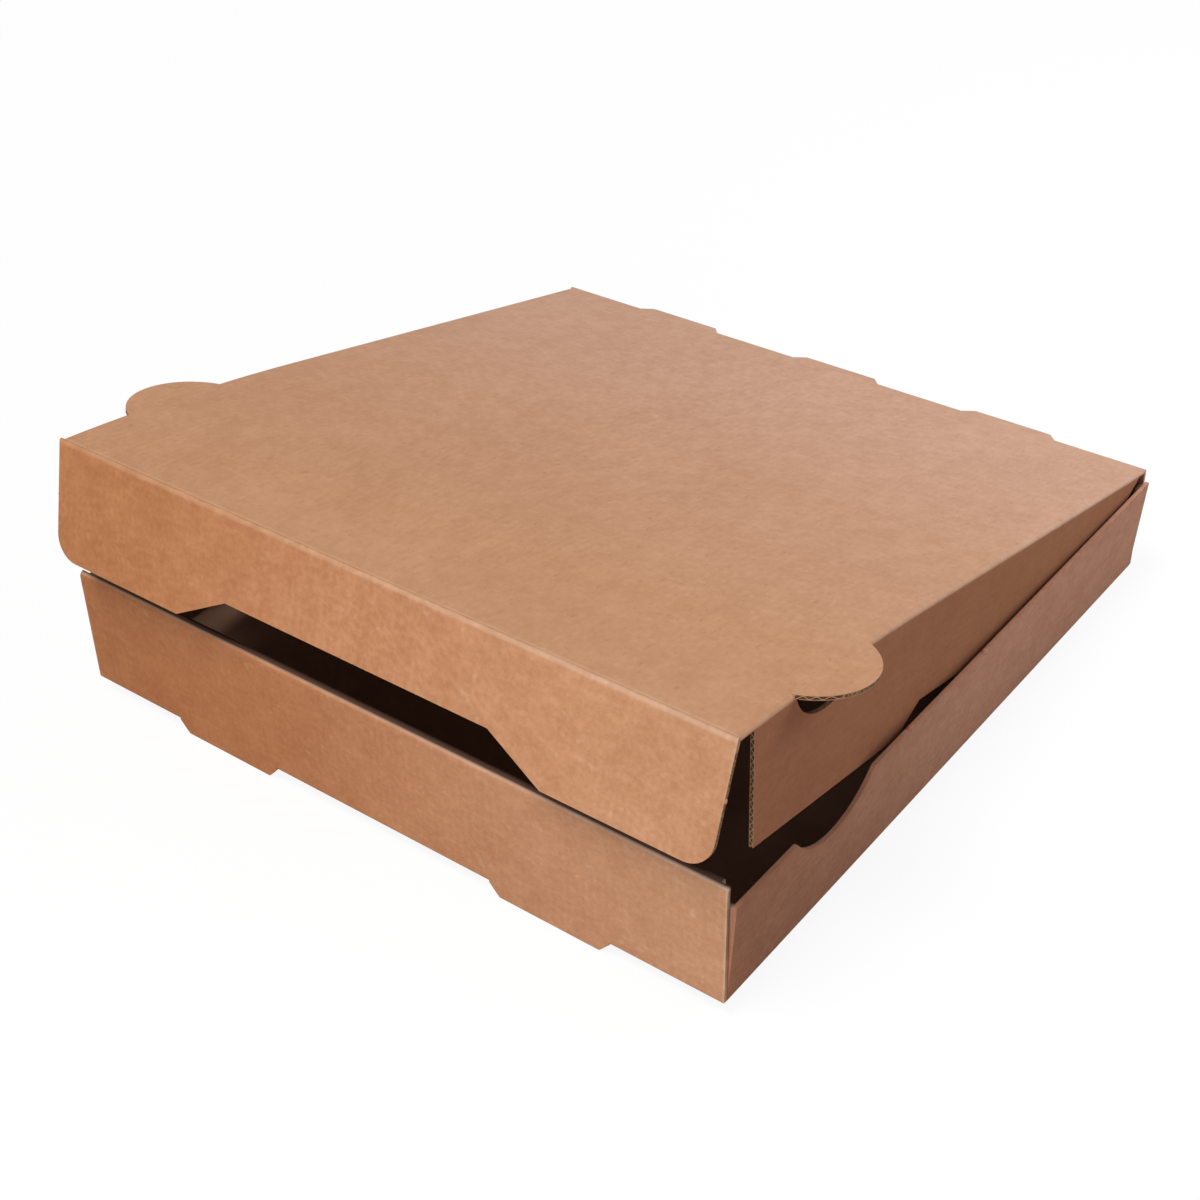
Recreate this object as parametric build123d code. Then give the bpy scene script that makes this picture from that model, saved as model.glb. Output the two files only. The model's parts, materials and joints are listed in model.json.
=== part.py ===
from build123d import *
from math import atan2, cos, degrees, hypot, radians, sin, sqrt, tan
import os

# A corrugated board box, folded from two sheets' worth of panels that stay joined along the back fold.
# Millimetres. X runs along the front wall, Y from the front wall to the back wall, Z up.
# The shapes are drawn on a level bottom panel, and then set down as the box stands: on its two feet
# and its back edge. The origin is the middle of the bottom of the whole box.

# Board and clearances
board = 1.6
layer_gap = 0.1
crease_gap = 0.12
slot_gap = 0.5
flap_gap = 1.2
lid_gap = 0.2

# Tray
width = 305.0
depth = 318.0
front_height = 52.0
hinge_height = 49.0
side_height = 44.0
side_lean = 2.6
fold_radius = 1.4
inner_panel_inset = 2.4
front_ear_length = 44.0
back_ear_length = 39.0
back_ear_foot = 9.0
back_ear_clearance = 2.5

# Feet and lock tabs, in pairs along the front fold
foot_centre = 79.0
foot_root = 53.0
foot_tip = 44.0
foot_drop = 5.0
lock_tab_width = 47.0
lock_slot_depth = 5.4

# Finger notches in the side walls
notch_centre = 63.0
notch_width = 50.0
notch_depth = 13.0

# Lid
rest_angle = 12.2
lid_straight = 200.0
lid_bow_drop = 6.0
lid_flap_lean = 2.0
ear_centre = 264.0
ear_chord = 46.0
ear_reach = 14.0
flap_front_top = 310.5
flap_front_low = 295.0
flap_floor_clearance = 0.7
flap_step_low = 200.0
flap_step_high = 187.0
flap_shallow = 41.5
flap_back_start = 6.0

# Hinge tabs along the back fold
hinge_tab_pitch = 87.8
hinge_tab_root = 44.5
hinge_tab_tip = 36.0
hinge_tab_reach = 5.0

# Front flap
front_flap_depth = 47.5
front_flap_taper = 1.5
front_flap_corner = 10.0
cutout_low = 85.0
cutout_high = 61.0
cutout_height = 13.0
front_flap_lean = 3.1

# Derived places
half_board = board / 2
half_width = width / 2
hinge_y = depth - half_board
hinge_z = hinge_height - half_board
wall_stack = 3 * board + 2 * layer_gap
stand_tilt = degrees(atan2(foot_drop, depth))
flap_axis_y = -(flap_gap + half_board)
flap_axis_z = front_height + lid_gap + half_board
side_angle = degrees(atan2(side_lean, side_height))


def closed_turn():
    """Angle of the lid's straight part when its front fold lies on the front wall."""
    reach = hypot(hinge_y - flap_axis_y, flap_axis_z - hinge_z)
    slope = degrees(atan2(flap_axis_z - hinge_z, hinge_y - flap_axis_y))
    along = sqrt(reach ** 2 - lid_bow_drop ** 2)
    return slope + degrees(atan2(lid_bow_drop, along)), along


closed_angle, lid_reach = closed_turn()
bow_length = lid_reach - lid_straight
bow_radius = (bow_length ** 2 + lid_bow_drop ** 2) / (2 * lid_bow_drop)


def bow_at(along):
    """How far the lid's middle layer lies below its straight part."""
    past = along - lid_straight
    if past <= 0:
        return 0.0
    return bow_radius - sqrt(bow_radius ** 2 - past ** 2)


def block(x0, x1, y0, y1, z0, z1):
    """Box between two corners."""
    size = (x1 - x0, y1 - y0, z1 - z0)
    middle = ((x0 + x1) / 2, (y0 + y1) / 2, (z0 + z1) / 2)
    return Pos(*middle) * Box(*size)


def plate_along_x(points, x0, x1):
    """Outline given as (y, z) pairs, drawn out from x0 to x1."""
    sketch = Plane.YZ * make_face(Polyline(*[(y, z) for y, z in points], close=True))
    return Pos(x0, 0, 0) * extrude(sketch, amount=x1 - x0)


def plate_along_y(points, y0, y1):
    """Outline given as (x, z) pairs, drawn out from y0 to y1."""
    sketch = Plane.XZ * make_face(Polyline(*[(x, z) for x, z in points], close=True))
    return Pos(0, y1, 0) * extrude(sketch, amount=y1 - y0)


def plate_along_z(points, z0, z1):
    """Outline given as (x, y) pairs, drawn out from z0 to z1."""
    sketch = make_face(Polyline(*[(x, y) for x, y in points], close=True))
    return Pos(0, 0, z0) * extrude(sketch, amount=z1 - z0)


def rod_along_x(radius, y, z, x0, x1):
    """Round bar along X."""
    return Pos((x0 + x1) / 2, y, z) * Rot(0, 90, 0) * Cylinder(radius, x1 - x0)


def both_sides(shape):
    """The shape and its mirror image across the middle of the box."""
    return shape + mirror(shape, about=Plane.YZ)


def segment_radius(chord, rise):
    """Radius of the circle whose segment has this chord and rise."""
    return ((chord / 2) ** 2 + rise ** 2) / (2 * rise)


def leaning_wall(inset, y0, y1, z_top):
    """Side layer whose outer face starts this far inside the side fold and leans outward."""
    out = tan(radians(side_angle))
    low = half_width - inset
    points = [
        (low - board, 0),
        (low, 0),
        (low + z_top * out, z_top),
        (low - board + z_top * out, z_top),
    ]
    return plate_along_y(points, y0, y1)


def make_tray():
    """Bottom with its double front wall, side walls, back wall and corner flaps."""
    bottom = block(-half_width, half_width, 0, depth, 0, board)
    back_top = hinge_z - half_board - crease_gap
    roll_radius = wall_stack / 2
    roll_z = front_height - roll_radius
    outer = block(-half_width, half_width, 0, board, 0, roll_z)
    back = block(-half_width, half_width, depth - board, depth, 0, back_top)
    shell = bottom + outer + back
    long_folds = [
        edge
        for edge in shell.edges().filter_by(Axis.X)
        if abs(edge.center().Z) < 0.01
    ]
    shell = fillet(long_folds, fold_radius)

    # Front wall rolled over its top, with the inner panel down to the bottom
    inner_half = half_width - board - inner_panel_inset
    roll = rod_along_x(roll_radius, roll_radius, roll_z, -inner_half, inner_half)
    roll -= rod_along_x(roll_radius - board, roll_radius, roll_z, -half_width, half_width)
    roll -= block(-half_width, half_width, -1, wall_stack + 1, 0, roll_z)
    inner = block(-inner_half, inner_half, wall_stack - board, wall_stack, board + layer_gap, roll_z)
    rim = rod_along_x(roll_radius, roll_radius, roll_z, -half_width, half_width)
    rim -= rod_along_x(roll_radius - board, roll_radius, roll_z, -width, width)
    rim &= block(-half_width, half_width, 0, roll_radius * 0.75, roll_z, front_height)
    shell += roll + rim + inner

    # Side walls, leaning outward a little
    wall = leaning_wall(0, board + layer_gap, depth - board, side_height)
    hollow = segment_radius(notch_width, notch_depth)
    notch_z = side_height - notch_depth + hollow
    finger = rod_along_x(hollow, notch_centre, notch_z, half_width - 20, half_width + 20)
    wall -= finger
    side_fold = [
        edge
        for edge in wall.edges().filter_by(Axis.Y)
        if abs(edge.center().Z) < 0.01 and edge.center().X > half_width - 0.01
    ]
    wall = fillet(side_fold, fold_radius)
    corner_cut = block(half_width - fold_radius, half_width + 1, -1, depth + 1, -1, fold_radius)
    corner_round = Pos(half_width - fold_radius, depth / 2, fold_radius) * Rot(90, 0, 0)
    corner_round *= Cylinder(fold_radius, depth)
    corner_cut -= corner_round
    shell -= corner_cut + mirror(corner_cut, about=Plane.YZ)

    # Front corner flaps of the side walls, held between the two layers of the front wall
    out = tan(radians(side_angle))
    ear_top = side_height - 0.5
    ear_points = [
        (half_width - front_ear_length, board + 3),
        (half_width - board, board / 2),
        (half_width - board / 2, board / 2),
        (half_width - board / 2 + (ear_top - board / 2) * out, ear_top),
        (half_width - front_ear_length + 6, ear_top),
        (half_width - front_ear_length, ear_top - 8),
    ]
    front_ear = plate_along_y(ear_points, board + layer_gap, 2 * board + layer_gap)

    # Back corner flaps, standing along the inside of the side walls
    slide = board + 2 * layer_gap
    back_ear = leaning_wall(slide, depth - back_ear_length, depth - board / 2, side_height - 1.5)
    ear_line = hinge_y - flap_back_start + back_ear_clearance
    low_line = depth - back_ear_length
    keep = [
        (low_line, 3.0),
        (depth, 3.0),
        (depth, hinge_z - 3.0),
        (ear_line, hinge_z - 3.0),
        (low_line, hinge_z - 3.0 - (ear_line - low_line)),
    ]
    back_ear &= plate_along_x(keep, 0, half_width + 20)

    sides = wall + front_ear + back_ear
    shell += both_sides(sides)

    # Slots behind the feet, the feet, and the lock tabs seated in the slots
    slot = block(
        foot_centre - foot_root / 2,
        foot_centre + foot_root / 2,
        board,
        lock_slot_depth,
        -1,
        board + 0.01,
    )
    shell -= both_sides(slot)
    foot_points = [
        (foot_centre - foot_root / 2, board),
        (foot_centre - foot_root / 2, 0),
        (foot_centre - foot_tip / 2 - 1, -foot_drop + 1),
        (foot_centre - foot_tip / 2, -foot_drop),
        (foot_centre + foot_tip / 2, -foot_drop),
        (foot_centre + foot_tip / 2 + 1, -foot_drop + 1),
        (foot_centre + foot_root / 2, 0),
        (foot_centre + foot_root / 2, board),
    ]
    foot = plate_along_y(foot_points, 0, board)
    lock_tab = block(
        foot_centre - lock_tab_width / 2,
        foot_centre + lock_tab_width / 2,
        wall_stack - board,
        wall_stack,
        0,
        board + 2,
    )
    shell += both_sides(foot + lock_tab)

    # Notches in the back wall that take the hinge tabs
    for middle in (-hinge_tab_pitch, 0, hinge_tab_pitch):
        reach = hinge_tab_reach + half_board + slot_gap
        notch_points = [
            (middle - hinge_tab_root / 2 - slot_gap, hinge_z + 1),
            (middle - hinge_tab_root / 2 - slot_gap, hinge_z - board),
            (middle - hinge_tab_tip / 2 - slot_gap, hinge_z - reach),
            (middle + hinge_tab_tip / 2 + slot_gap, hinge_z - reach),
            (middle + hinge_tab_root / 2 + slot_gap, hinge_z - board),
            (middle + hinge_tab_root / 2 + slot_gap, hinge_z + 1),
        ]
        shell -= plate_along_y(notch_points, depth - board - 1, depth + 1)
    return shell


def lid_profile():
    """Side view of the lid panel, hinge axis at the start, front running toward -Y."""
    top = half_board
    end = lid_reach - half_board - crease_gap
    centre_z = -bow_radius
    far = (end - lid_straight) / bow_radius
    half = far / 2

    def ring(radius, turn):
        return (-(lid_straight + radius * sin(turn)), centre_z + radius * cos(turn))

    outer = bow_radius + top
    inner = bow_radius - top
    lines = Polyline((0, -top), (0, top))
    lines += Line((0, top), (-lid_straight, top))
    lines += ThreePointArc((-lid_straight, top), ring(outer, half), ring(outer, far))
    lines += Line(ring(outer, far), ring(inner, far))
    lines += ThreePointArc(ring(inner, far), ring(inner, half), (-lid_straight, -top))
    lines += Line((-lid_straight, -top), (0, -top))
    return lines


def lid_sheet(x0, x1):
    """Panel of the lid between two places along X."""
    sketch = Plane.YZ * make_face(lid_profile())
    return Pos(x0, 0, 0) * extrude(sketch, amount=x1 - x0)


def make_lid():
    """Lid panel with its ears, hinge tabs and two side flaps, straight part level."""
    panel = lid_sheet(-half_width, half_width)
    panel += rod_along_x(half_board, 0, 0, -half_width, half_width)

    # Ears cut out of the side flaps
    radius = segment_radius(ear_chord, ear_reach)
    ear_x = half_width + ear_reach - radius
    ear = Pos(ear_x, -ear_centre, -20) * Cylinder(radius, 60)
    ear &= block(half_width - 2, half_width + 60, -lid_reach, 0, -40, 20)
    ear &= lid_sheet(half_width - 2, half_width + 60)
    panel += both_sides(ear)

    # Side flaps
    low_slope = tan(radians(closed_angle))
    floor_drop = hinge_z - board - flap_floor_clearance

    def low(along):
        return -(floor_drop + along * low_slope)

    steps = 8
    top_line = []
    for index in range(steps + 1):
        along = flap_back_start + (flap_front_top - flap_back_start) * index / steps
        top_line.append((-along, -bow_at(along)))
    outline = top_line + [
        (-flap_front_low, low(flap_front_low)),
        (-flap_step_low, low(flap_step_low)),
        (-flap_step_high, -flap_shallow),
        (-(flap_back_start + flap_shallow), -flap_shallow),
    ]
    flap = plate_along_x(outline, -board, 0)
    hole = rod_along_x(radius, -ear_centre, -ear_reach + radius - bow_at(ear_centre), -10, 10)
    flap -= hole
    flap = Pos(half_width, 0, 0) * Rot(0, lid_flap_lean, 0) * flap
    panel += both_sides(flap)
    ear_shadow = block(half_width - 0.01, half_width + 60, -lid_reach, 0, -40, 20)
    keep_out = ear_shadow - lid_sheet(half_width - 1, half_width + 80)
    panel -= both_sides(keep_out)

    # Hinge tabs
    for middle in (-hinge_tab_pitch, 0, hinge_tab_pitch):
        reach = hinge_tab_reach + half_board
        tab_points = [
            (middle - hinge_tab_root / 2, -2),
            (middle - hinge_tab_root / 2, half_board),
            (middle - hinge_tab_tip / 2, reach),
            (middle + hinge_tab_tip / 2, reach),
            (middle + hinge_tab_root / 2, half_board),
            (middle + hinge_tab_root / 2, -2),
        ]
        panel += plate_along_z(tab_points, -half_board, half_board)
    return panel


def make_front_flap():
    """Front flap hanging straight down from its fold axis."""
    low = -(front_flap_depth - half_board)
    narrow = half_width - front_flap_taper
    points = [
        (-half_width, 0),
        (-narrow, low),
        (-cutout_low, low),
        (-cutout_high, low + cutout_height),
        (cutout_high, low + cutout_height),
        (cutout_low, low),
        (narrow, low),
        (half_width, 0),
    ]
    sheet = plate_along_y(points, -half_board, half_board)
    corners = [
        edge
        for edge in sheet.edges().filter_by(Axis.Y)
        if abs(edge.center().X) > narrow - 0.5 and edge.center().Z < low + 0.5
    ]
    sheet = fillet(corners, front_flap_corner)
    return sheet + rod_along_x(half_board, 0, 0, -half_width, half_width)


hinge_place = Pos(0, hinge_y, hinge_z)
lid_place = hinge_place * Rot(-rest_angle, 0, 0)
flap_place = lid_place * Pos(0, -lid_reach, -lid_bow_drop) * Rot(-front_flap_lean, 0, 0)
stand = Pos(0, depth, 0) * Rot(-stand_tilt, 0, 0) * Pos(0, -depth, 0)

tray = stand * make_tray()
lid = stand * lid_place * make_lid()
front_flap = stand * flap_place * make_front_flap()

boxes = [shape.bounding_box() for shape in (tray, lid, front_flap)]
front_most = min(box.min.Y for box in boxes)
back_most = max(box.max.Y for box in boxes)
lowest = min(box.min.Z for box in boxes)
to_origin = Pos(0, -(front_most + back_most) / 2, -lowest)

os.makedirs("parts", exist_ok=True)
for name, shape in (("tray", tray), ("lid", lid), ("front_flap", front_flap)):
    export_step(to_origin * shape, "parts/" + name + ".step")
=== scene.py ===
import json
import math
import bpy
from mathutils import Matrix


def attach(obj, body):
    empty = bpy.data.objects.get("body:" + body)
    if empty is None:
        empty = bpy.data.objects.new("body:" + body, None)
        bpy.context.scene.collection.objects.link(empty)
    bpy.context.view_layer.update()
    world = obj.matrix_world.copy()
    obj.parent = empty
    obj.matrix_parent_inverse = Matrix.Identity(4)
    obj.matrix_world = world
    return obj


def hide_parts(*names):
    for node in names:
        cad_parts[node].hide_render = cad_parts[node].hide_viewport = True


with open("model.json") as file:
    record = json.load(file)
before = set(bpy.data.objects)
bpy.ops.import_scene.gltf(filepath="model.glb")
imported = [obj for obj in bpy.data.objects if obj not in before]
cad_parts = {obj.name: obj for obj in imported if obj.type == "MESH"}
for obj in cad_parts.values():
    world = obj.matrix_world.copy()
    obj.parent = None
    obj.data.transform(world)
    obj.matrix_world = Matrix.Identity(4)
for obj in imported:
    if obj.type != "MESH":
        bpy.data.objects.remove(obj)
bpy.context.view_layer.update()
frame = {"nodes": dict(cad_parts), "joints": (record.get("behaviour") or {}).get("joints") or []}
print("stage: frame loaded")

# what the whole box shares, in metres and degrees
boxSet = {
    "halfWidth": 0.1525,
    "board": 0.0016,
    "stand": 0.9008,  # the box leans back on the two feet under its front
    "lidAngle": 12.2,
    "flapLean": 3.1,
    "flutePitch": 0.0033,
}
halfBoard = boxSet["board"] / 2
lidTurn = boxSet["stand"] + boxSet["lidAngle"]
flapTurn = lidTurn + boxSet["flapLean"]
jointAt = {joint["name"]: tuple(joint["pos_m"]) for joint in frame["joints"]}
hingeAt = jointAt["lid_hinge"]
flapAt = jointAt["front_flap_hinge"]
alongAxis = 0.9  # a normal this long along an axis faces that way
belowFold = -0.01  # what is lower than this hangs from a fold


# modelling helpers

def clearSelection():
    if bpy.context.object and bpy.context.object.mode != "OBJECT":
        bpy.ops.object.mode_set(mode="OBJECT")
    bpy.ops.object.select_all(action="DESELECT")


def activate(piece):
    clearSelection()
    piece.select_set(True)
    bpy.context.view_layer.objects.active = piece


def addBlock(name, low, high):
    clearSelection()
    middle = [(a + b) / 2 for a, b in zip(low, high)]
    bpy.ops.mesh.primitive_cube_add(size=1, location=middle)
    piece = bpy.context.object
    piece.name = name
    piece.scale = [b - a for a, b in zip(low, high)]
    bpy.ops.object.transform_apply(location=True, rotation=True, scale=True)
    return piece


def addRod(name, radius, start, end, sides=96):
    clearSelection()
    middle = [(a + b) / 2 for a, b in zip(start, end)]
    run = [abs(b - a) for a, b in zip(start, end)]
    axis = run.index(max(run))
    turn = [(0, math.pi / 2, 0), (math.pi / 2, 0, 0), (0, 0, 0)][axis]
    bpy.ops.mesh.primitive_cylinder_add(
        vertices=sides, radius=radius, depth=max(run), location=middle, rotation=turn
    )
    piece = bpy.context.object
    piece.name = name
    bpy.ops.object.transform_apply(location=True, rotation=True, scale=True)
    return piece


def addPrism(name, outline, x0, x1):
    # an outline of (y, z) points drawn out from x0 to x1
    clearSelection()
    bpy.ops.mesh.primitive_circle_add(vertices=len(outline), fill_type="NGON")
    piece = bpy.context.object
    piece.name = name
    for corner, (y, z) in zip(piece.data.vertices, outline):
        corner.co = (x0, y, z)
    bpy.ops.object.mode_set(mode="EDIT")
    bpy.ops.mesh.select_all(action="SELECT")
    bpy.ops.mesh.extrude_region_move(TRANSFORM_OT_translate={"value": (x1 - x0, 0, 0)})
    bpy.ops.mesh.select_all(action="SELECT")
    bpy.ops.mesh.normals_make_consistent(inside=False)
    bpy.ops.object.mode_set(mode="OBJECT")
    return piece


selectModes = {"vertices": "VERT", "edges": "EDGE", "polygons": "FACE"}


def pick(piece, kind, test):
    # selects the vertices, edges or faces that pass the test, and enters edit mode
    activate(piece)
    bpy.ops.object.mode_set(mode="EDIT")
    bpy.ops.mesh.select_mode(type=selectModes[kind])
    bpy.ops.mesh.select_all(action="DESELECT")
    bpy.ops.object.mode_set(mode="OBJECT")
    mesh = piece.data
    for item in getattr(mesh, kind):
        if kind == "vertices":
            item.select = bool(test(item.co))
        elif kind == "edges":
            a, b = (mesh.vertices[i].co for i in item.vertices)
            item.select = bool(test(a, b))
        else:
            item.select = bool(test(item.center, item.normal))
    bpy.ops.object.mode_set(mode="EDIT")


def cutAcross(piece, axis, places):
    # adds edge rows at these places, so that the sheet can bend there
    activate(piece)
    bpy.ops.object.mode_set(mode="EDIT")
    for place in places:
        point = [0, 0, 0]
        normal = [0, 0, 0]
        point[axis] = place
        normal[axis] = 1
        bpy.ops.mesh.select_all(action="SELECT")
        bpy.ops.mesh.bisect(plane_co=point, plane_no=normal)
    bpy.ops.object.mode_set(mode="OBJECT")


def trim(piece, point, normal):
    # takes away what lies beyond a plane and closes the cut
    activate(piece)
    bpy.ops.object.mode_set(mode="EDIT")
    bpy.ops.mesh.select_all(action="SELECT")
    bpy.ops.mesh.bisect(plane_co=point, plane_no=normal, use_fill=True, clear_outer=True)
    bpy.ops.object.mode_set(mode="OBJECT")


def useModifier(piece, kind, **settings):
    activate(piece)
    modifier = piece.modifiers.new(kind.lower(), kind)
    for key, value in settings.items():
        setattr(modifier, key, value)
    bpy.ops.object.modifier_apply(modifier=modifier.name)


def combine(piece, others, operation):
    for other in others:
        useModifier(piece, "BOOLEAN", object=other, operation=operation, solver="EXACT")
        bpy.data.objects.remove(other, do_unlink=True)


def join(piece, others):
    activate(piece)
    for other in others:
        other.select_set(True)
    bpy.ops.object.join()


def warp(piece, low, high, counts, move):
    # bends a finished sheet with a lattice whose points the function moves
    clearSelection()
    middle = [(a + b) / 2 for a, b in zip(low, high)]
    bpy.ops.object.add(type="LATTICE", location=middle)
    cage = bpy.context.object
    cage.scale = [b - a for a, b in zip(low, high)]
    cage.data.points_u, cage.data.points_v, cage.data.points_w = counts
    for kind in ("u", "v", "w"):
        setattr(cage.data, "interpolation_type_" + kind, "KEY_CATMULL_ROM")
    bpy.context.view_layer.update()
    for knot in cage.data.points:
        place = [m + c * (b - a) for m, c, a, b in zip(middle, knot.co, low, high)]
        shift = move(*place)
        knot.co_deform = [c + s / (b - a) for c, s, a, b in zip(knot.co, shift, low, high)]
    useModifier(piece, "LATTICE", object=cage)
    bpy.data.objects.remove(cage, do_unlink=True)


def addNick(name, place, size, seed, ragged=0.18):
    # a torn bit of paper where the sheet was held in the cutting die
    clearSelection()
    bpy.ops.mesh.primitive_ico_sphere_add(subdivisions=2, radius=0.5, location=place)
    nick = bpy.context.object
    nick.name = name
    nick.scale = size
    bpy.ops.object.transform_apply(location=True, rotation=True, scale=True)
    bpy.ops.object.mode_set(mode="EDIT")
    bpy.ops.mesh.select_all(action="SELECT")
    bpy.ops.transform.vertex_random(offset=min(size) * ragged, seed=seed)
    bpy.ops.object.mode_set(mode="OBJECT")
    return nick


def setDown(piece, turn, place):
    # from the piece's own drawing frame to the frame of the whole box
    activate(piece)
    piece.rotation_euler = (-math.radians(turn), 0, 0)
    piece.location = place
    bpy.ops.object.transform_apply(location=True, rotation=True, scale=True)


def finishMesh(piece, angle=32, gap=0.00001):
    activate(piece)
    bpy.ops.object.mode_set(mode="EDIT")
    bpy.ops.mesh.select_all(action="SELECT")
    bpy.ops.mesh.remove_doubles(threshold=gap)
    bpy.ops.mesh.normals_make_consistent(inside=False)
    bpy.ops.object.mode_set(mode="OBJECT")
    bpy.ops.object.shade_smooth_by_angle(angle=math.radians(angle))


# shader helper: a socket that can be added, multiplied and so on

class Wire:
    def __init__(self, tree, socket):
        self.tree = tree
        self.socket = socket

    def node(self, kind, settings=None, **inputs):
        # in0, in1 and so on count the sockets, and other keys name them
        made = self.tree.nodes.new(kind)
        for key, value in (settings or {}).items():
            setattr(made, key, value)
        for key, value in inputs.items():
            counted = key.startswith("in") and key[2:].isdigit()
            socket = made.inputs[int(key[2:]) if counted else key.replace("_", " ")]
            if isinstance(value, Wire):
                self.tree.links.new(value.socket, socket)
            else:
                socket.default_value = value
        return made

    def out(self, made, name=0):
        return Wire(self.tree, made.outputs[name])

    def maths(self, operation, a, b=0.0):
        made = self.node("ShaderNodeMath", {"operation": operation}, in0=a, in1=b)
        return self.out(made)

    def __add__(self, other):
        return self.maths("ADD", self, other)

    def __radd__(self, other):
        return self.maths("ADD", other, self)

    def __sub__(self, other):
        return self.maths("SUBTRACT", self, other)

    def __rsub__(self, other):
        return self.maths("SUBTRACT", other, self)

    def __mul__(self, other):
        return self.maths("MULTIPLY", self, other)

    def __rmul__(self, other):
        return self.maths("MULTIPLY", other, self)

    def sine(self):
        return self.maths("SINE", self)

    def size(self):
        return self.maths("ABSOLUTE", self)

    def between(self, low, high):
        # 0 below the low value, 1 above the high one, and a smooth step between
        smooth = {"interpolation_type": "SMOOTHSTEP"}
        return self.out(self.node("ShaderNodeMapRange", smooth, Value=self, From_Min=low, From_Max=high))

    def near(self, low, high):
        # 1 about zero and 0 far from it
        return 1 - self.between(low, high)

    def most(self, other):
        return self.maths("MAXIMUM", self, other)

    def drift(self, first, last, way, amount):
        # painted light and shade: multiplies the colour by one that changes from first to last along the
        # way
        made = self.node("ShaderNodeMix", {"data_type": "RGBA"}, in0=way, in6=first, in7=last)
        return self.blendColour(self.out(made, 2), amount, "MULTIPLY")

    def blendColour(self, other, amount, kind="MIX"):
        settings = {"data_type": "RGBA", "blend_type": kind}
        return self.out(self.node("ShaderNodeMix", settings, in0=amount, in6=self, in7=other), 2)


def startMaterial(name):
    material = bpy.data.materials.new(name)
    material.use_nodes = True
    material.node_tree.nodes.clear()
    return material, Wire(material.node_tree, None)


def endMaterial(kit, shader):
    end = kit.node("ShaderNodeOutputMaterial")
    kit.tree.links.new(shader.outputs[0], end.inputs[0])


def startColour(kit, colour):
    flat = kit.out(kit.node("ShaderNodeRGB"))
    flat.socket.default_value = colour
    return flat


def readAttribute(kit, name):
    return kit.out(kit.node("ShaderNodeAttribute", {"attribute_name": name}), "Fac")


def fluteWave(across):
    return (across * (2 * math.pi / boxSet["flutePitch"])).sine()


# kraft board: fibres, flecks and faint flutes under the paper, with painted highlights, light and shade
boardSet = {
    "turn": 0.0,
    "centre": (0.0, 0.0, 0.0),
    "pale": (0.66, 0.45, 0.30, 1),
    "deep": (0.50, 0.30, 0.175, 1),
    "fibre": (0.30, 0.14, 0.07, 1),
    # pale fibre flecks, and the painted highlight on the folds
    "glint": (0.84, 0.58, 0.38, 1),
    # the board's inner side, darker than the outer, and darker still as painted shade for the dim inside of
    # the box
    "inside": (0.34, 0.200, 0.140, 1),
    "insideFrom": (0.45, 0.55),  # the depth in the board where its outer side gives way to the inner
    "insideTone": (0.80, 0.15),  # plain share, and the grain's on top of it
    "creaseTone": (0.6, 0.4),  # plain share, and the blotches' on top of it
    # strength of the painted shade on the front wall's rolled top
    "foldTone": 0.9,
    "toneOf": {"cloudy": 0.22, "blotch": 0.24, "grain": 0.38, "strand": 0.16},
    "reliefOf": {"grain": 0.35, "strand": 0.16, "blotch": 0.2},
    "fleck": 0.22,
    "light": 0.12,
    "roughness": 0.84,
    "grainRough": 0.08,
    "creaseSmooth": 0.10,
    "shine": 0.22,
    "fluteTone": 0.12,
    "fluteDepth": 0.16,
    # strength of the paler folds: partly creased paper, partly painted highlight
    "crease": 0.34,
    "bump": 0.38,
    "bumpDepth": 0.00022,
    # painted light and shade across a piece and on its side faces; white leaves the colour as it is
    "drift": ("x", -1, 1, (1, 1, 1, 1), (1, 1, 1, 1)),
    "sideDrift": ("x", -1, 1, (1, 1, 1, 1), (1, 1, 1, 1)),
}

# the noise of the paper: scale, stretch along x, y and z, detail, roughness, and the span kept
speckSet = {
    "uneven": (30, (1, 0.25, 1), 2.0, 0.6, (0.25, 0.75)),
    "cloudy": (16, (1, 0.7, 1), 5.0, 0.62, (0.30, 0.72)),
    "blotch": (110, (1, 0.6, 1), 3.0, 0.6, (0.30, 0.72)),
    "grain": (430, (1, 0.62, 1), 3.0, 0.7, (0.26, 0.78)),
    "strand": (330, (0.42, 1, 1), 2.0, 0.6, (0.42, 0.74)),
    "fleck": (900, (1, 0.25, 1), 1.0, 0.6, (0.66, 0.74)),
    "light": (700, (0.3, 1, 0.3), 1.0, 0.6, (0.68, 0.78)),
}

# where a fold shows pale, partly creased paper and partly a painted highlight: each mark's half width, and
# its strength beside the main one
creaseSet = {
    "core": 0.0002,
    "front": 0.0018,
    "side": 0.0014,
    "sideShare": 0.35,
    "wallTop": 0.0016,
    "corner": 0.0012,
    "cornerShare": 0.3,
    "cornerSquash": 0.6,
    "earHalf": (0.020, 0.024),  # the ear is cut free, so its root has no fold
}


def sheetMarks(kit, look, px, py, pz):
    # a folded sheet carries its own across, along, depth and hanging
    across = readAttribute(kit, "across")
    along = readAttribute(kit, "along")
    core = creaseSet["core"]
    side = (across.size() - boxSet["halfWidth"]).size()
    front = (along - look["foldAlong"]).size()
    if "earAlong" in look:
        side = side + (along - look["earAlong"]).size().near(*creaseSet["earHalf"])
    sideFold = side.near(core, creaseSet["side"]) * creaseSet["sideShare"]
    return {
        "across": across,
        "hidden": readAttribute(kit, "depth").between(*look["insideFrom"]),
        "crease": front.near(core, creaseSet["front"]).most(sideFold),
        "sideways": readAttribute(kit, "hanging"),
        "ways": {"x": px, "along": along},
    }


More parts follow.
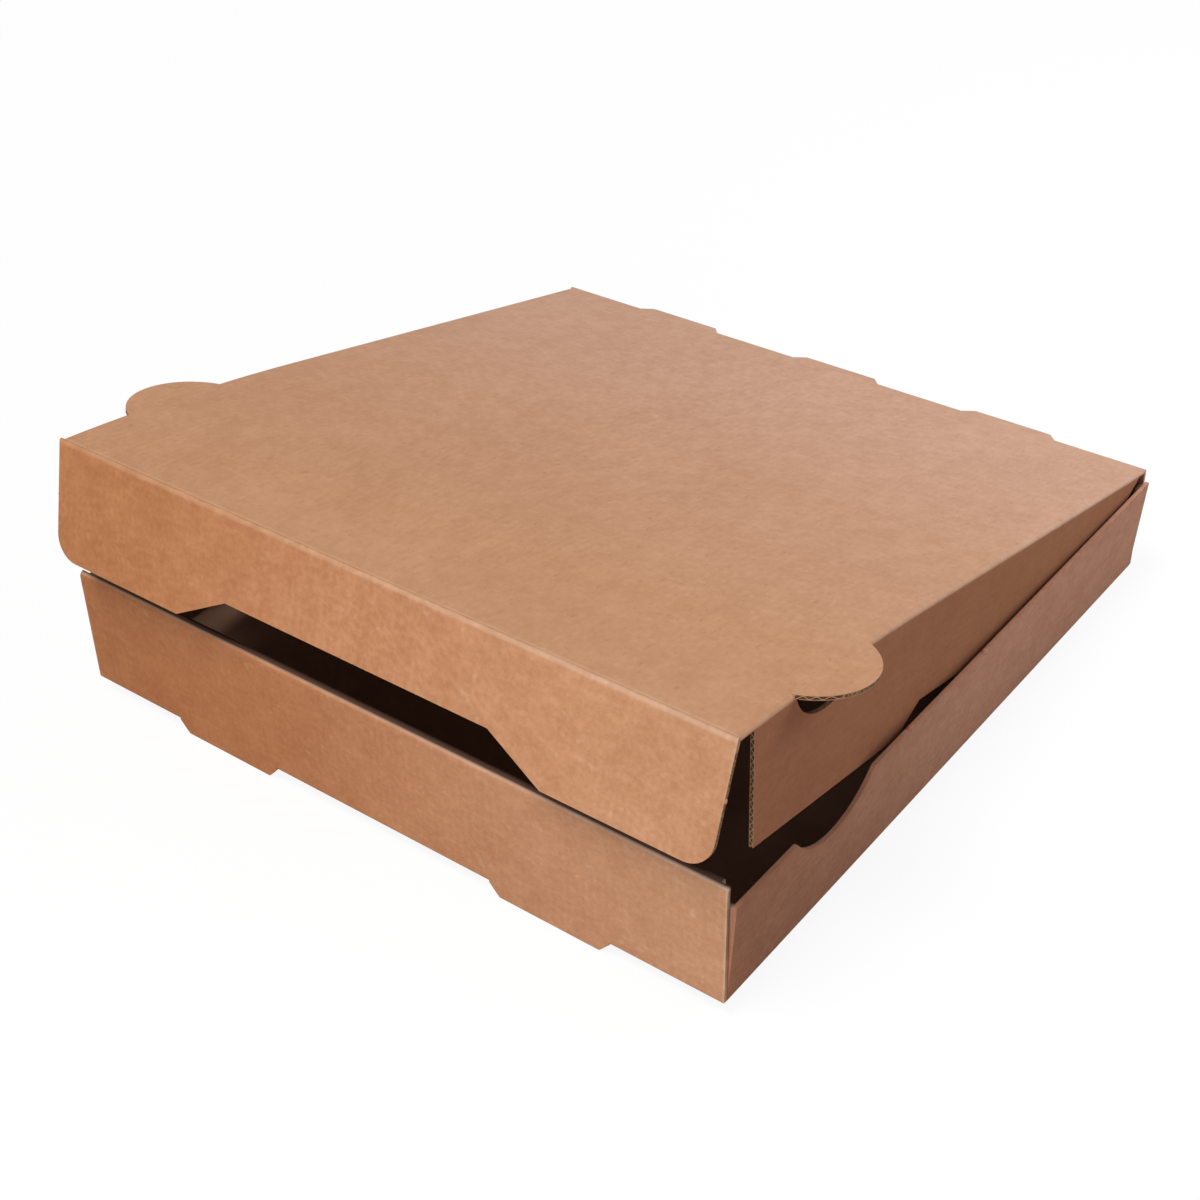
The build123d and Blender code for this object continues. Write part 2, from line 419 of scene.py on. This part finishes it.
def trayMarks(kit, look, px, py, pz):
    # the tray is the solid itself, so its faces are told apart by where they lie
    blur, wallBlur = look["blur"], look["wallBlur"]
    frontInside, backInside, floorInside = look["frontInside"], look["backInside"], look["floorInside"]
    core = creaseSet["core"]
    sideways = px.size().between(*look["sideFrom"]) * py.between(*look["sideBehind"])
    leaning = px.size() - pz * look["wallLean"]
    hidden = leaning.near(look["wallInside"], look["wallInside"] + wallBlur)
    hidden = hidden * py.between(frontInside - blur, frontInside)
    hidden = hidden * py.near(backInside, backInside + blur)
    hidden = hidden * pz.between(floorInside - blur, floorInside)
    front = (pz - look["frontTop"]).size().most(py - frontInside)
    beside = (py - look["frontAt"]).size() * creaseSet["cornerSquash"]
    corner = (px.size() - boxSet["halfWidth"]).size().most(beside)
    cornerFold = corner.near(core, creaseSet["corner"]) * creaseSet["cornerShare"]
    return {
        "across": px * (1 - sideways) + pz * sideways,
        "hidden": hidden,
        "crease": front.near(core, creaseSet["wallTop"]).most(cornerFold),
        "sideways": sideways,
        "ways": {"x": px, "y": py},
        # painted shade: the front wall's rolled top is painted dark
        "rolled": pz.between(*look["rolledFrom"]) * py.between(frontInside, frontInside + blur / 2),
    }


def boardMaterial(name, marksOf, **changes):
    look = dict(boardSet, **changes)
    material, kit = startMaterial(name)
    place = kit.out(kit.node("ShaderNodeTexCoord"), "Object")
    shifted = kit.node("ShaderNodeMapping", Vector=place, Location=[-c for c in look["centre"]])
    turn = (math.radians(look["turn"]), 0, 0)
    turned = kit.out(kit.node("ShaderNodeMapping", Vector=kit.out(shifted), Rotation=turn))
    split = kit.node("ShaderNodeSeparateXYZ", Vector=turned)
    marks = marksOf(kit, look, *(kit.out(split, i) for i in range(3)))

    layers = {}
    for layer, (scale, stretch, detail, coarse, span) in speckSet.items():
        wide = kit.out(kit.node("ShaderNodeMapping", Vector=turned, Scale=stretch))
        noise = kit.node("ShaderNodeTexNoise", Vector=wide, Scale=scale, Detail=detail, Roughness=coarse)
        layers[layer] = kit.out(noise).between(*span)
    wave = fluteWave(marks["across"]) * layers["uneven"]
    grain, blotch, crease = layers["grain"], layers["blotch"], marks["crease"]
    tone = sum(layers[layer] * share for layer, share in look["toneOf"].items())
    relief = sum(layers[layer] * share for layer, share in look["reliefOf"].items())

    colour = startColour(kit, look["pale"]).blendColour(look["deep"], 1 - tone)
    colour = colour.blendColour(look["fibre"], layers["fleck"] * look["fleck"])
    colour = colour.blendColour(look["glint"], layers["light"] * look["light"])
    colour = colour.blendColour(look["fibre"], (0.5 - wave * 0.5) * look["fluteTone"])
    plain, blotched = look["creaseTone"]
    # the folds painted paler: partly creased paper, partly painted highlight
    colour = colour.blendColour(look["glint"], crease * (plain + blotch * blotched) * look["crease"])
    sideways = marks["sideways"]
    # painted light and shade across each piece and on its side faces
    for drift, amount in ((look["drift"], 1 - sideways), (look["sideDrift"], sideways)):
        way, low, high, first, last = drift
        colour = colour.drift(first, last, marks["ways"][way].between(low, high), amount)
    plain, grained = look["insideTone"]
    # inner faces: the board's inner side, darkened further as painted shade
    colour = colour.blendColour(look["inside"], marks["hidden"] * (plain + grain * grained))
    # painted shade on the front wall's rolled top
    if "rolled" in marks:
        colour = colour.blendColour(look["fold"], marks["rolled"] * look["foldTone"])
    height = wave * look["fluteDepth"] + relief
    bump = kit.node("ShaderNodeBump", Strength=look["bump"], Distance=look["bumpDepth"], Height=height)
    rough = look["roughness"] + grain * look["grainRough"] - crease * look["creaseSmooth"]
    shader = kit.node("ShaderNodeBsdfPrincipled", Base_Color=colour, Roughness=rough, Normal=kit.out(bump))
    shader.inputs["Specular IOR Level"].default_value = look["shine"]
    endMaterial(kit, shader)
    return material


# a cut edge of the board: two liners, and between them the wave or the long side of a flute, with the
# hollows painted dark as shade
cutSet = {
    "paper": (0.52, 0.29, 0.16, 1),
    # painted shade: the hollows between the liners
    "gap": (0.105, 0.048, 0.026, 1),
    "liner": (0.34, 0.40),
    "swing": 0.30,
    "medium": (0.07, 0.15),
    "torn": (0.30, 0.62),
    "tornTone": 0.65,
    "fluffScale": 1400.0,
    "bump": 0.6,
    "bumpDepth": 0.0003,
    "roughness": 0.92,
    "shine": 0.15,
}


def cutMaterial(name, fluted):
    material, kit = startMaterial(name)
    depth = readAttribute(kit, "depth")
    place = kit.out(kit.node("ShaderNodeTexCoord"), "Object")
    noise = kit.node("ShaderNodeTexNoise", Vector=place, Scale=cutSet["fluffScale"], Detail=2.0)
    fluff = kit.out(noise)
    if fluted:
        middle = fluteWave(readAttribute(kit, "across")) * cutSet["swing"] + 0.5
        medium = (depth - middle).size().near(*cutSet["medium"])
    else:
        medium = fluff.between(*cutSet["torn"]) * cutSet["tornTone"]
    paper = (depth - 0.5).size().between(*cutSet["liner"]).most(medium)
    colour = startColour(kit, cutSet["gap"]).blendColour(cutSet["paper"], paper * (0.72 + fluff * 0.5))
    height = paper + fluff * 0.3
    bump = kit.node("ShaderNodeBump", Strength=cutSet["bump"], Distance=cutSet["bumpDepth"], Height=height)
    shader = kit.node("ShaderNodeBsdfPrincipled", Base_Color=colour, Normal=kit.out(bump))
    shader.inputs["Roughness"].default_value = cutSet["roughness"]
    shader.inputs["Specular IOR Level"].default_value = cutSet["shine"]
    endMaterial(kit, shader)
    return material


cutWavy = cutMaterial("fluted cut edge", True)
cutLong = cutMaterial("long cut edge", False)
print("stage: cut edges have their materials")


def markSheet(piece, measure, fluted, folded):
    # stores where each point lies on the flat sheet and whether it hangs from a side fold,
    # and gives the cut edges their own material
    mesh = piece.data
    rows = [measure(*corner.co) for corner in mesh.vertices]
    for number, name in enumerate(("across", "along", "depth", "hanging")):
        layer = mesh.attributes.new(name, "FLOAT", "POINT")
        layer.data.foreach_set("value", [row[number] for row in rows])
    for face in mesh.polygons:
        depths = [rows[i][2] for i in face.vertices]
        if max(depths) - min(depths) > 0.5 and not folded(face.center):
            face.material_index = 1 if fluted(face.center, face.normal) else 2
        else:
            face.material_index = 0


# lid: panel, side flaps, ears and hinge tabs from one folded sheet. It is drawn with the hinge at
# the origin, the panel level and the front towards -y.

lidSet = {
    "reach": 0.3191797,  # from the hinge to the front fold
    "frontGap": 0.0003,
    "straight": 0.200,  # the panel bows down past this
    "bowDrop": 0.006,
    "foldRound": 0.0021,
    "flapDeep": 0.060,
    "sideLean": 2.0,
    "frontTop": 0.3105,
    "frontLow": 0.295,
    "stepLow": 0.200,
    "stepHigh": 0.187,
    "shallow": 0.0415,
    "backStart": 0.006,
    "lowStart": 0.0459,
    "lowSlope": 0.03385,
    "lowSteps": 8,
    "earMiddle": 0.264,
    "earReach": 0.014,
    "earChord": 0.046,
    "tabPitch": 0.0878,
    "tabRoot": 0.0445,
    "tabTip": 0.036,
    "tabReach": 0.0058,
    "tabShoulder": 0.003,
    "rows": 32,
    "columns": 8,
    "foldSides": 24,
    "foldBand": 0.0012,  # this near to the front fold no face is a cut edge
    "foldEndGap": 0.0004,
    "frontFoldShare": 0.93,
    "sideBand": 0.008,  # a side flap's board lies this near to the panel's edge
}

# how far the waste that is cut from the side flaps reaches past them
wasteSet = {"front": 0.34, "back": 0.01, "low": 0.08, "side": 0.2, "seam": 0.0001, "overlap": 0.001}

# the lattice that bends the whole lid
cageSet = {"low": (-0.17, -0.322, -0.062), "high": (0.17, 0.008, 0.004), "knots": (2, 34, 2)}

boardLid = boardMaterial(
    "kraft lid", sheetMarks, turn=lidTurn, centre=hingeAt, foldAlong=lidSet["reach"],
    earAlong=lidSet["earMiddle"],
    # paler and pinker than the front flap's, though it is the same board: a painted sheen on the top
    pale=(0.68, 0.375, 0.222, 1), deep=(0.53, 0.268, 0.145, 1), fluteTone=0.05,
    # painted light: paler and bluer towards the hinge; the side flaps painted darker as shade
    drift=("along", 0.0, 0.30, (1.05, 1.15, 1.38, 1), (1, 0.98, 0.96, 1)),
    sideDrift=("along", 0.10, 0.30, (0.66, 0.48, 0.38, 1), (0.68, 0.50, 0.42, 1)),
)


def bowAt(along):
    past = along - lidSet["straight"]
    run = lidSet["reach"] - lidSet["straight"]
    if past <= 0:
        return 0.0
    radius = (run ** 2 + lidSet["bowDrop"] ** 2) / (2 * lidSet["bowDrop"])
    return radius - math.sqrt(radius ** 2 - past ** 2)


def foldLid():
    # a block without bottom, front and back becomes a folded sheet
    half = boxSet["halfWidth"]
    front = lidSet["reach"] - lidSet["frontGap"]
    lid = addBlock("lidBoard", (-half, -front, -lidSet["flapDeep"]), (half, 0, halfBoard))
    pick(lid, "polygons", lambda c, n: n.z < -alongAxis or abs(n.y) > alongAxis)
    bpy.ops.mesh.delete(type="FACE")
    pick(lid, "edges", lambda a, b: min(a.z, b.z) > 0 and abs(a.x + b.x) > half)
    bpy.ops.mesh.bevel(offset=lidSet["foldRound"], segments=4, affect="EDGES")
    pick(lid, "vertices", lambda c: c.z < belowFold)
    lean = lidSet["flapDeep"] * math.tan(math.radians(lidSet["sideLean"]))
    bpy.ops.transform.resize(value=((half - lean) / half, 1, 1))
    bpy.ops.object.mode_set(mode="OBJECT")
    rows, columns = lidSet["rows"], lidSet["columns"]
    cutAcross(lid, 1, [-front * i / rows for i in range(1, rows)])
    cutAcross(lid, 0, [half * i / columns for i in range(1 - columns, columns)])
    useModifier(lid, "SOLIDIFY", thickness=boxSet["board"], offset=-1, use_even_offset=True)
    return lid


def flapEdgeAt(along):
    # a side flap's lower edge, before the lid is bent
    return -(lidSet["lowStart"] + lidSet["lowSlope"] * along) + bowAt(along)


def earRadius():
    chord, rise = lidSet["earChord"], lidSet["earReach"]
    return ((chord / 2) ** 2 + rise ** 2) / (2 * rise)


def cutSides(lid):
    # the side flaps' outline, and the holes that the ears leave in them
    under = -halfBoard - wasteSet["seam"]
    front, back, low, side = -wasteSet["front"], wasteSet["back"], -wasteSet["low"], wasteSet["side"]
    corner, shallow = lidSet["frontLow"], lidSet["shallow"]
    wasteFront = [
        (front, under), (-lidSet["frontTop"], under), (-corner, flapEdgeAt(corner)),
        (-corner, low), (front, low),
    ]
    steps = lidSet["lowSteps"]
    span = corner - lidSet["stepLow"]
    edge = [corner - span * i / steps for i in range(steps + 1)]
    lap = -corner - wasteSet["overlap"]
    wasteLow = [(lap, flapEdgeAt(corner))] + [(-along, flapEdgeAt(along)) for along in edge]
    wasteLow += [
        (-lidSet["stepHigh"], -shallow), (-(lidSet["backStart"] + shallow), -shallow),
        (-lidSet["backStart"], under), (back, under), (back, low), (lap, low),
    ]
    cutters = [addPrism("waste", outline, -side, side) for outline in (wasteFront, wasteLow)]
    radius = earRadius()
    middle, lift = -lidSet["earMiddle"], radius - lidSet["earReach"]
    hole = addRod("hole", radius, (-side, middle, lift), (side, middle, lift))
    trim(hole, (0, 0, under), (0, 0, 1))
    combine(lid, cutters + [hole], "DIFFERENCE")


def makeEars():
    # they stay in the plane of the panel
    half, radius, middle = boxSet["halfWidth"], earRadius(), -lidSet["earMiddle"]
    ears = []
    for side in (-1, 1):
        centre = side * (half + lidSet["earReach"] - radius)
        ear = addRod("ear", radius, (centre, middle, -halfBoard), (centre, middle, halfBoard))
        trim(ear, (side * (half - lidSet["foldRound"]), 0, 0), (-side, 0, 0))
        ears.append(ear)
    return ears


def makeTabs():
    # past the back fold
    root = lidSet["tabRoot"]
    tabs = []
    for place in (-1, 0, 1):
        middle = place * lidSet["tabPitch"]
        low = (middle - root / 2, 0, -halfBoard)
        tab = addBlock("tab", low, (middle + root / 2, lidSet["tabReach"], halfBoard))
        cutAcross(tab, 1, [halfBoard])
        pick(tab, "vertices", lambda c: c.y > lidSet["tabShoulder"])
        narrow = (lidSet["tabTip"] / root, 1, 1)
        bpy.ops.transform.resize(value=narrow, center_override=(middle, 0, 0))
        bpy.ops.object.mode_set(mode="OBJECT")
        tabs.append(tab)
    return tabs


def makeFolds():
    # the round backs of the creases, with the front one hidden inside the front flap's
    half, reach, sides = boxSet["halfWidth"], lidSet["reach"], lidSet["foldSides"]
    end, thin = half - lidSet["foldEndGap"], halfBoard * lidSet["frontFoldShare"]
    backFold = addRod("back fold", halfBoard, (-half, 0, 0), (half, 0, 0), sides)
    return [backFold, addRod("front fold", thin, (-end, -reach, 0), (end, -reach, 0), sides)]


def nearFrontFold(y):
    return y < lidSet["foldBand"] - lidSet["reach"]


def placeOnLid(x, y, z):
    # where a point lies across and along the flat sheet, how deep in the board, and if it hangs
    half, bend, board = boxSet["halfWidth"], lidSet["foldRound"], boxSet["board"]
    lean = math.tan(math.radians(lidSet["sideLean"]))
    out = abs(x) - (half - bend)
    up = z - (halfBoard - bend)
    hanging = z < -halfBoard * 1.05 and abs(x) > half - lidSet["sideBand"]
    if hanging:
        depth = (half + (z - halfBoard) * lean - abs(x)) / board
        across = half + halfBoard - z
    elif out > 0 and up > 0 and abs(x) < half + 0.0001:
        depth = (bend - math.hypot(out, up)) / board
        across = half - bend + bend * 1.2 * math.atan2(out, up)
    else:
        depth = (halfBoard - z) / board
        across = abs(x)
    if nearFrontFold(y):
        depth = 0.0
    return math.copysign(across, x), -y, max(0.0, min(1.0, depth)), float(hanging)


def makeLid():
    lid = foldLid()
    cutSides(lid)
    join(lid, makeEars() + makeTabs() + makeFolds())
    markSheet(lid, placeOnLid, lambda c, n: abs(n.y) > 0.5, lambda c: nearFrontFold(c.y))
    warp(lid, cageSet["low"], cageSet["high"], cageSet["knots"], lambda x, y, z: (0, 0, -bowAt(max(-y, 0))))
    finishMesh(lid)
    setDown(lid, lidTurn, hingeAt)
    for material in (boardLid, cutWavy, cutLong):
        lid.data.materials.append(material)
    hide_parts("lid")
    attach(lid, "lid")


makeLid()
print("stage: lid made")


# front flap, drawn with its fold at the origin and hanging straight down

flapSet = {
    "depth": 0.0475,
    "taper": 0.0015,
    "corner": 0.010,
    "cutLow": 0.085,  # half the cut-out's width at the flap's lower edge
    "cutHigh": 0.061,
    "cutRise": 0.013,
    "foldShare": 0.98,
    "columns": 12,
    "nickDown": 0.0212,
    "nickSize": (0.0011, 0.0015, 0.0022),
    "nickSeed": 3,
}

boardFlap = boardMaterial(
    "kraft front flap", sheetMarks, turn=flapTurn, centre=flapAt, foldAlong=0.0,
    pale=(0.635, 0.314, 0.154, 1), deep=(0.42, 0.176, 0.070, 1), fluteTone=0.10,
    # painted light: darker and warmer on the left, paler and bluer on the right
    drift=("x", -0.15, 0.15, (0.94, 0.84, 0.76, 1), (0.96, 1.02, 1.18, 1)),
)


def addCutOut(low):
    # the block reaches as far below the edge as above it, so its lower end is wider still
    rise, high = flapSet["cutRise"], flapSet["cutHigh"]
    cutOut = addBlock("cut-out", (-high, -0.01, low - rise), (high, 0.01, low + rise))
    pick(cutOut, "vertices", lambda c: c.z < low)
    wide = flapSet["cutLow"] * 2 - high
    bpy.ops.transform.resize(value=(wide / high, 1, 1))
    bpy.ops.object.mode_set(mode="OBJECT")
    return cutOut


def onFlapFold(z):
    return z > -0.0001


def placeOnFlap(x, y, z):
    return x, -z, 0.0 if onFlapFold(z) else (y + halfBoard) / boxSet["board"], 0.0


def makeFrontFlap():
    half, columns = boxSet["halfWidth"], flapSet["columns"]
    low = -(flapSet["depth"] - halfBoard)
    flap = addBlock("frontFlapBoard", (-half, -halfBoard, low), (half, halfBoard, halfBoard))
    pick(flap, "edges", lambda a, b: min(a.z, b.z) > 0 and abs(a.x - b.x) > half)
    bpy.ops.mesh.bevel(offset=halfBoard * flapSet["foldShare"], segments=5, affect="EDGES")
    pick(flap, "vertices", lambda c: c.z < belowFold)
    bpy.ops.transform.resize(value=((half - flapSet["taper"]) / half, 1, 1))
    pick(flap, "edges", lambda a, b: max(a.z, b.z) < belowFold and abs(a.y - b.y) > halfBoard)
    bpy.ops.mesh.bevel(offset=flapSet["corner"], segments=10, affect="EDGES")
    bpy.ops.object.mode_set(mode="OBJECT")
    combine(flap, [addCutOut(low)], "DIFFERENCE")
    cutAcross(flap, 0, [half * i / columns for i in range(1 - columns, columns)])
    down = flapSet["nickDown"]
    out = half - flapSet["taper"] * down / flapSet["depth"]
    size, seed = flapSet["nickSize"], flapSet["nickSeed"]
    join(flap, [addNick("nick", (side * out, 0, -down), size, seed + side) for side in (-1, 1)])
    finishMesh(flap)
    markSheet(flap, placeOnFlap, lambda c, n: abs(n.z) > 0.35, lambda c: onFlapFold(c.z))
    setDown(flap, flapTurn, flapAt)
    for material in (boardFlap, cutWavy, cutLong):
        flap.data.materials.append(material)
    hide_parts("front_flap")
    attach(flap, "front_flap")


makeFrontFlap()
print("stage: front flap made")


# tray: the solid stays, and gets its board and the torn nicks on its side walls

traySet = {
    "wallOut": 0.1546,
    "wallTop": 0.0462,
    "nickAt": (-0.0435, 0.0120),
    "nickSize": (0.0020, 0.0036, 0.0026),
    "nickSeed": 10,
    "smoothAngle": 60,
}

boardTray = boardMaterial(
    "kraft tray", trayMarks, turn=boxSet["stand"],
    wallInside=0.1508, wallLean=0.059, wallBlur=0.0004, sideFrom=(0.1500, 0.1506),
    sideBehind=(-0.1566, -0.1562), frontInside=-0.1567, frontAt=-0.1579, frontTop=0.0545,
    rolledFrom=(0.0533, 0.0539), backInside=0.1582, floorInside=0.0039, blur=0.0006,
    pale=(0.61, 0.294, 0.144, 1), deep=(0.425, 0.174, 0.074, 1), fluteTone=0.11, crease=0.6,
    # fold: the colour of the painted shade on the front wall's rolled top
    fold=(0.085, 0.042, 0.026, 1),
    # painted light and shade: the front darker and warmer to the left, paler and bluer to the right; the
    # side walls darker at the front, paler and bluer towards the back
    drift=("x", -0.11, 0.17, (0.90, 0.78, 0.68, 1), (1.03, 1.16, 1.37, 1)),
    sideDrift=("y", -0.16, 0.02, (0.80, 0.74, 0.87, 1), (1.08, 1.12, 1.47, 1)),
)


def dressTray():
    for place in frame["nodes"]["tray"].material_slots:
        place.material = boardTray
    nicks = []
    for number, y in enumerate(traySet["nickAt"]):
        top = traySet["wallTop"] - y * math.tan(math.radians(boxSet["stand"]))
        for side in (-1, 1):
            place = (side * traySet["wallOut"], y, top)
            seed = traySet["nickSeed"] + number + side
            nicks.append(addNick("wallNicks", place, traySet["nickSize"], seed))
    piece = nicks[0]
    join(piece, nicks[1:])
    finishMesh(piece, traySet["smoothAngle"])
    piece.data.materials.append(boardTray)
    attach(piece, "tray")


dressTray()
print("stage: tray dressed")


# floor, light and camera

stageSet = {
    "size": 30,
    "drop": 0.0002,
    "floor": (0.50, 0.50, 0.505, 1),
    "white": 0.80,  # how much of the floor the camera sees as plain white
    "glow": 1.128,
    "behind": 0.99,
    "world": 0.25,
}

sunSet = {"turn": (18.5, -9.5, 0.0), "strength": 1.92, "spread": 24.0, "colour": (1.0, 0.98, 0.955)}

lampSet = {
    "front light": {
        "place": (0.14, -0.60, 0.17), "aim": (0.08, -0.16, 0.05),
        "size": 0.3, "power": 1.15, "colour": (0.95, 0.98, 1.0),
    },
    "back light": {
        "place": (0.56, 0.58, 0.42), "aim": (0.15, 0.14, 0.04),
        "size": 0.3, "power": 2.5, "colour": (0.78, 0.89, 1.0),
    },
}


def makeFloor():
    clearSelection()
    bpy.ops.mesh.primitive_plane_add(size=stageSet["size"], location=(0, 0, -stageSet["drop"]))
    floor = bpy.context.object
    floor.name = "floor"
    material, kit = startMaterial("pale floor")
    matt = kit.node("ShaderNodeBsdfDiffuse", Color=stageSet["floor"])
    glow = kit.node("ShaderNodeEmission", Color=(1, 1, 1, 1), Strength=stageSet["glow"])
    seen = kit.out(kit.node("ShaderNodeLightPath"), "Is Camera Ray") * stageSet["white"]
    endMaterial(kit, kit.node("ShaderNodeMixShader", Fac=seen, in1=kit.out(matt), in2=kit.out(glow)))
    floor.data.materials.append(material)


def makeWorld():
    world = bpy.data.worlds.new("studio")
    bpy.context.scene.world = world
    world.use_nodes = True
    back = world.node_tree.nodes["Background"]
    back.inputs["Color"].default_value = (1, 1, 1, 1)
    kit = Wire(world.node_tree, None)
    seen = kit.out(kit.node("ShaderNodeLightPath"), "Is Camera Ray")
    strength = seen * (stageSet["behind"] - stageSet["world"]) + stageSet["world"]
    world.node_tree.links.new(strength.socket, back.inputs["Strength"])


def makeLights():
    bpy.ops.object.light_add(type="SUN", rotation=[math.radians(a) for a in sunSet["turn"]])
    key = bpy.context.object
    key.name = "key light"
    key.data.energy = sunSet["strength"]
    key.data.angle = math.radians(sunSet["spread"])
    key.data.color = sunSet["colour"]
    for name, look in lampSet.items():
        bpy.ops.object.light_add(type="AREA", location=look["place"])
        lamp = bpy.context.object
        lamp.name = name
        lamp.data.size = look["size"]
        lamp.data.energy = look["power"]
        lamp.data.color = look["colour"]
        lamp.visible_camera = False
        dx, dy, dz = (a - b for a, b in zip(look["aim"], look["place"]))
        tilt = math.pi / 2 + math.atan2(dz, math.hypot(dx, dy))
        lamp.rotation_euler = (tilt, 0, math.atan2(dy, dx) - math.pi / 2)


cameraSet = {
    "place": (0.3893, -0.5231, 0.4827),
    "turn": (54.262, 1.396, 36.792),
    "lens": 57.611,
    "sensor": 36,
    "clip": 0.01,
}


def makeCamera():
    bpy.ops.object.camera_add(location=cameraSet["place"])
    camera = bpy.context.object
    camera.rotation_euler = [math.radians(a) for a in cameraSet["turn"]]
    camera.data.lens = cameraSet["lens"]
    camera.data.sensor_width = cameraSet["sensor"]
    camera.data.clip_start = cameraSet["clip"]
    bpy.context.scene.camera = camera


makeFloor()
makeWorld()
makeLights()
makeCamera()
bpy.context.scene.view_settings.view_transform = "Standard"
print("stage: floor, light and camera made")
